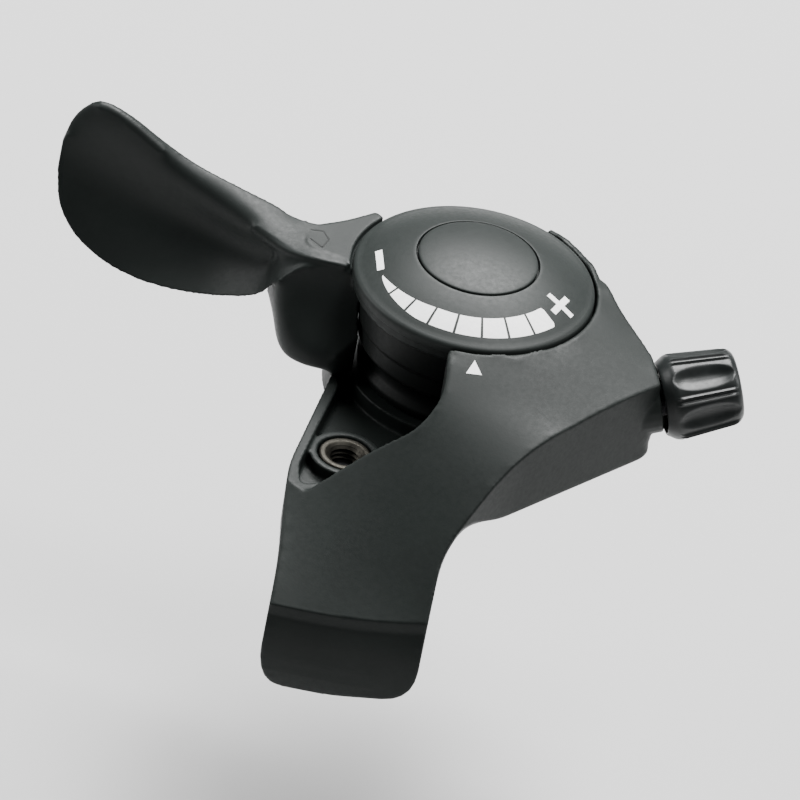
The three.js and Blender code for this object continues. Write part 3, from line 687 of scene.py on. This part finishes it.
KNOB_LENGTH = 11.2
KNOB_NEAR = 6.2
KNOB_FAR = 5.5
KNOB_BARREL_STEPS = 40
KNOB_INSIDE = 5.0            # nothing is carved at a smaller radius than this
FLUTES = 6
FLUTE_MIDDLE = 6.1           # height of a flute's middle
FLUTE_HALF = 4.6             # half its length
FLUTE_SPREAD = 19            # degrees, half its width
FLUTE_DEPTH = 0.8
RIB_ANGLE = 4.0              # degrees from the middle between two flutes to each rib
RIB_SPREAD = 2.6             # degrees, half a rib's width
RIB_HALF = 4.5               # half a rib's length
RIB_HEIGHT = 0.3


def knob_radius(radius, height, angle):
    """Carves leaf-shaped thumb flutes and raises a pair of fine ribs between them."""
    if radius < KNOB_INSIDE:
        return radius
    pitch = 2 * math.pi / FLUTES
    offset = (angle + pitch / 2) % pitch - pitch / 2
    along = min(1, abs(height - FLUTE_MIDDLE) / FLUTE_HALF)
    half_width = math.radians(FLUTE_SPREAD) * (1 - along ** 2.4) ** 0.5
    if half_width > abs(offset):
        inside = 1 - (offset / half_width) ** 2
        radius -= FLUTE_DEPTH * inside ** 1.4 * (1 - along ** 4)
    rib = abs(abs(abs(offset) - pitch / 2) - math.radians(RIB_ANGLE))
    fade = np.clip((RIB_HALF - abs(height - FLUTE_MIDDLE)) / 0.8, 0, 1)
    rise = 0.5 + 0.5 * math.cos(math.pi * min(1, rib / math.radians(RIB_SPREAD)))
    return radius + RIB_HEIGHT * fade * rise


def knob_barrel():
    """The barrel's straight taper, in steps fine enough to carve."""
    points = []
    for i in range(KNOB_BARREL_STEPS + 1):
        radius = KNOB_NEAR + (KNOB_FAR - KNOB_NEAR) * i / KNOB_BARREL_STEPS
        points.append((radius, 2 + (KNOB_LENGTH - 3.6) * i / KNOB_BARREL_STEPS, 0))
    return points


def make_knob():
    profile = [
        (4.9, 0), (5.2, 0, 0.2), (KNOB_NEAR - 0.15, 1.3, 0.4), *knob_barrel(),
        (KNOB_FAR - 0.1, KNOB_LENGTH - 0.8, 0.5), (KNOB_FAR - 0.9, KNOB_LENGTH, 0.7),
        (3.7, KNOB_LENGTH, 0.2), (3.7, 5.2), (2.75, 5.2), (2.75, 3.6), (4.9, 3.6)]
    mesh = turned("knob", rounded(profile, 0.1), AT_OUTLET, 360, knob_radius)
    link_mesh("knob", mesh, "adjuster", "knob_plastic", ["adjuster_knob"], 50)


# ---------------------------------------------------------------- clamp nut with its grooves

NUT_PLACE = (-13.1, -24.2)
NUT_TOP = -20.5
NUT_STEP = -22.5
NUT_BOTTOM = -27
NUT_BORE = 2.42              # radius at the bottom of the grooves
NUT_CREST = 2.08             # radius at the crests between them
GROOVES = 7
GROOVE_PITCH = 0.8


def make_nut():
    """The clamp nut, whose thread is drawn as closed grooves."""
    where = AT_PIVOT @ Matrix.Translation(Vector((*NUT_PLACE, 0)) * MM)
    grooves = []
    for i in range(GROOVES):
        top = NUT_TOP - 0.45 - GROOVE_PITCH * i
        grooves += [(NUT_BORE, top, 0), (NUT_CREST, top - 0.35, 0), (NUT_CREST, top - 0.45, 0)]
    profile = [
        (NUT_BORE, NUT_BOTTOM), (3.2, NUT_BOTTOM), (3.2, NUT_STEP), (3.75, NUT_STEP),
        (3.75, NUT_TOP, 0.4), (2.9, NUT_TOP, 0.2), (NUT_BORE, NUT_TOP - 0.4, 0), *grooves]
    mesh = turned("clamp_nut_threaded", rounded(profile, 0.1), where, 96)
    link_mesh("clamp_nut_threaded", mesh, "bracket", "plated_steel", ["clamp_nut"], 30)


# ---------------------------------------------------------------- build

make_camera()
make_lights()
make_floor()
dress_cad_nodes()

housing = softened("bracket_housing", "housing_shell", "housing_plastic", "bracket",
                   sharp_angle=14, broad_rounds=320, melted=melted_nowhere)
lever = softened("thumb_lever", "lever_shell", "lever_plastic", "lever",
                 sharp_angle=32, broad_rounds=260, melted=melted_lever)
make_dial()
make_cap()
make_scale()
make_index_mark(housing)
make_arrow(lever)
make_drum()
make_knob()
make_nut()
for node in ("clamp_band", "clamp_bolt"):
    bevelled(node, "bracket", "dark_steel", 0.15)
bevelled("clamp_washer", "bracket", "plated_steel", 0.15)
for number in (1, 2, 3):
    bevelled(f"cover_screw_{number}", "bracket", "dark_steel", 0.15)
bevelled("base_cover", "bracket", "drum_plastic", 0.2)
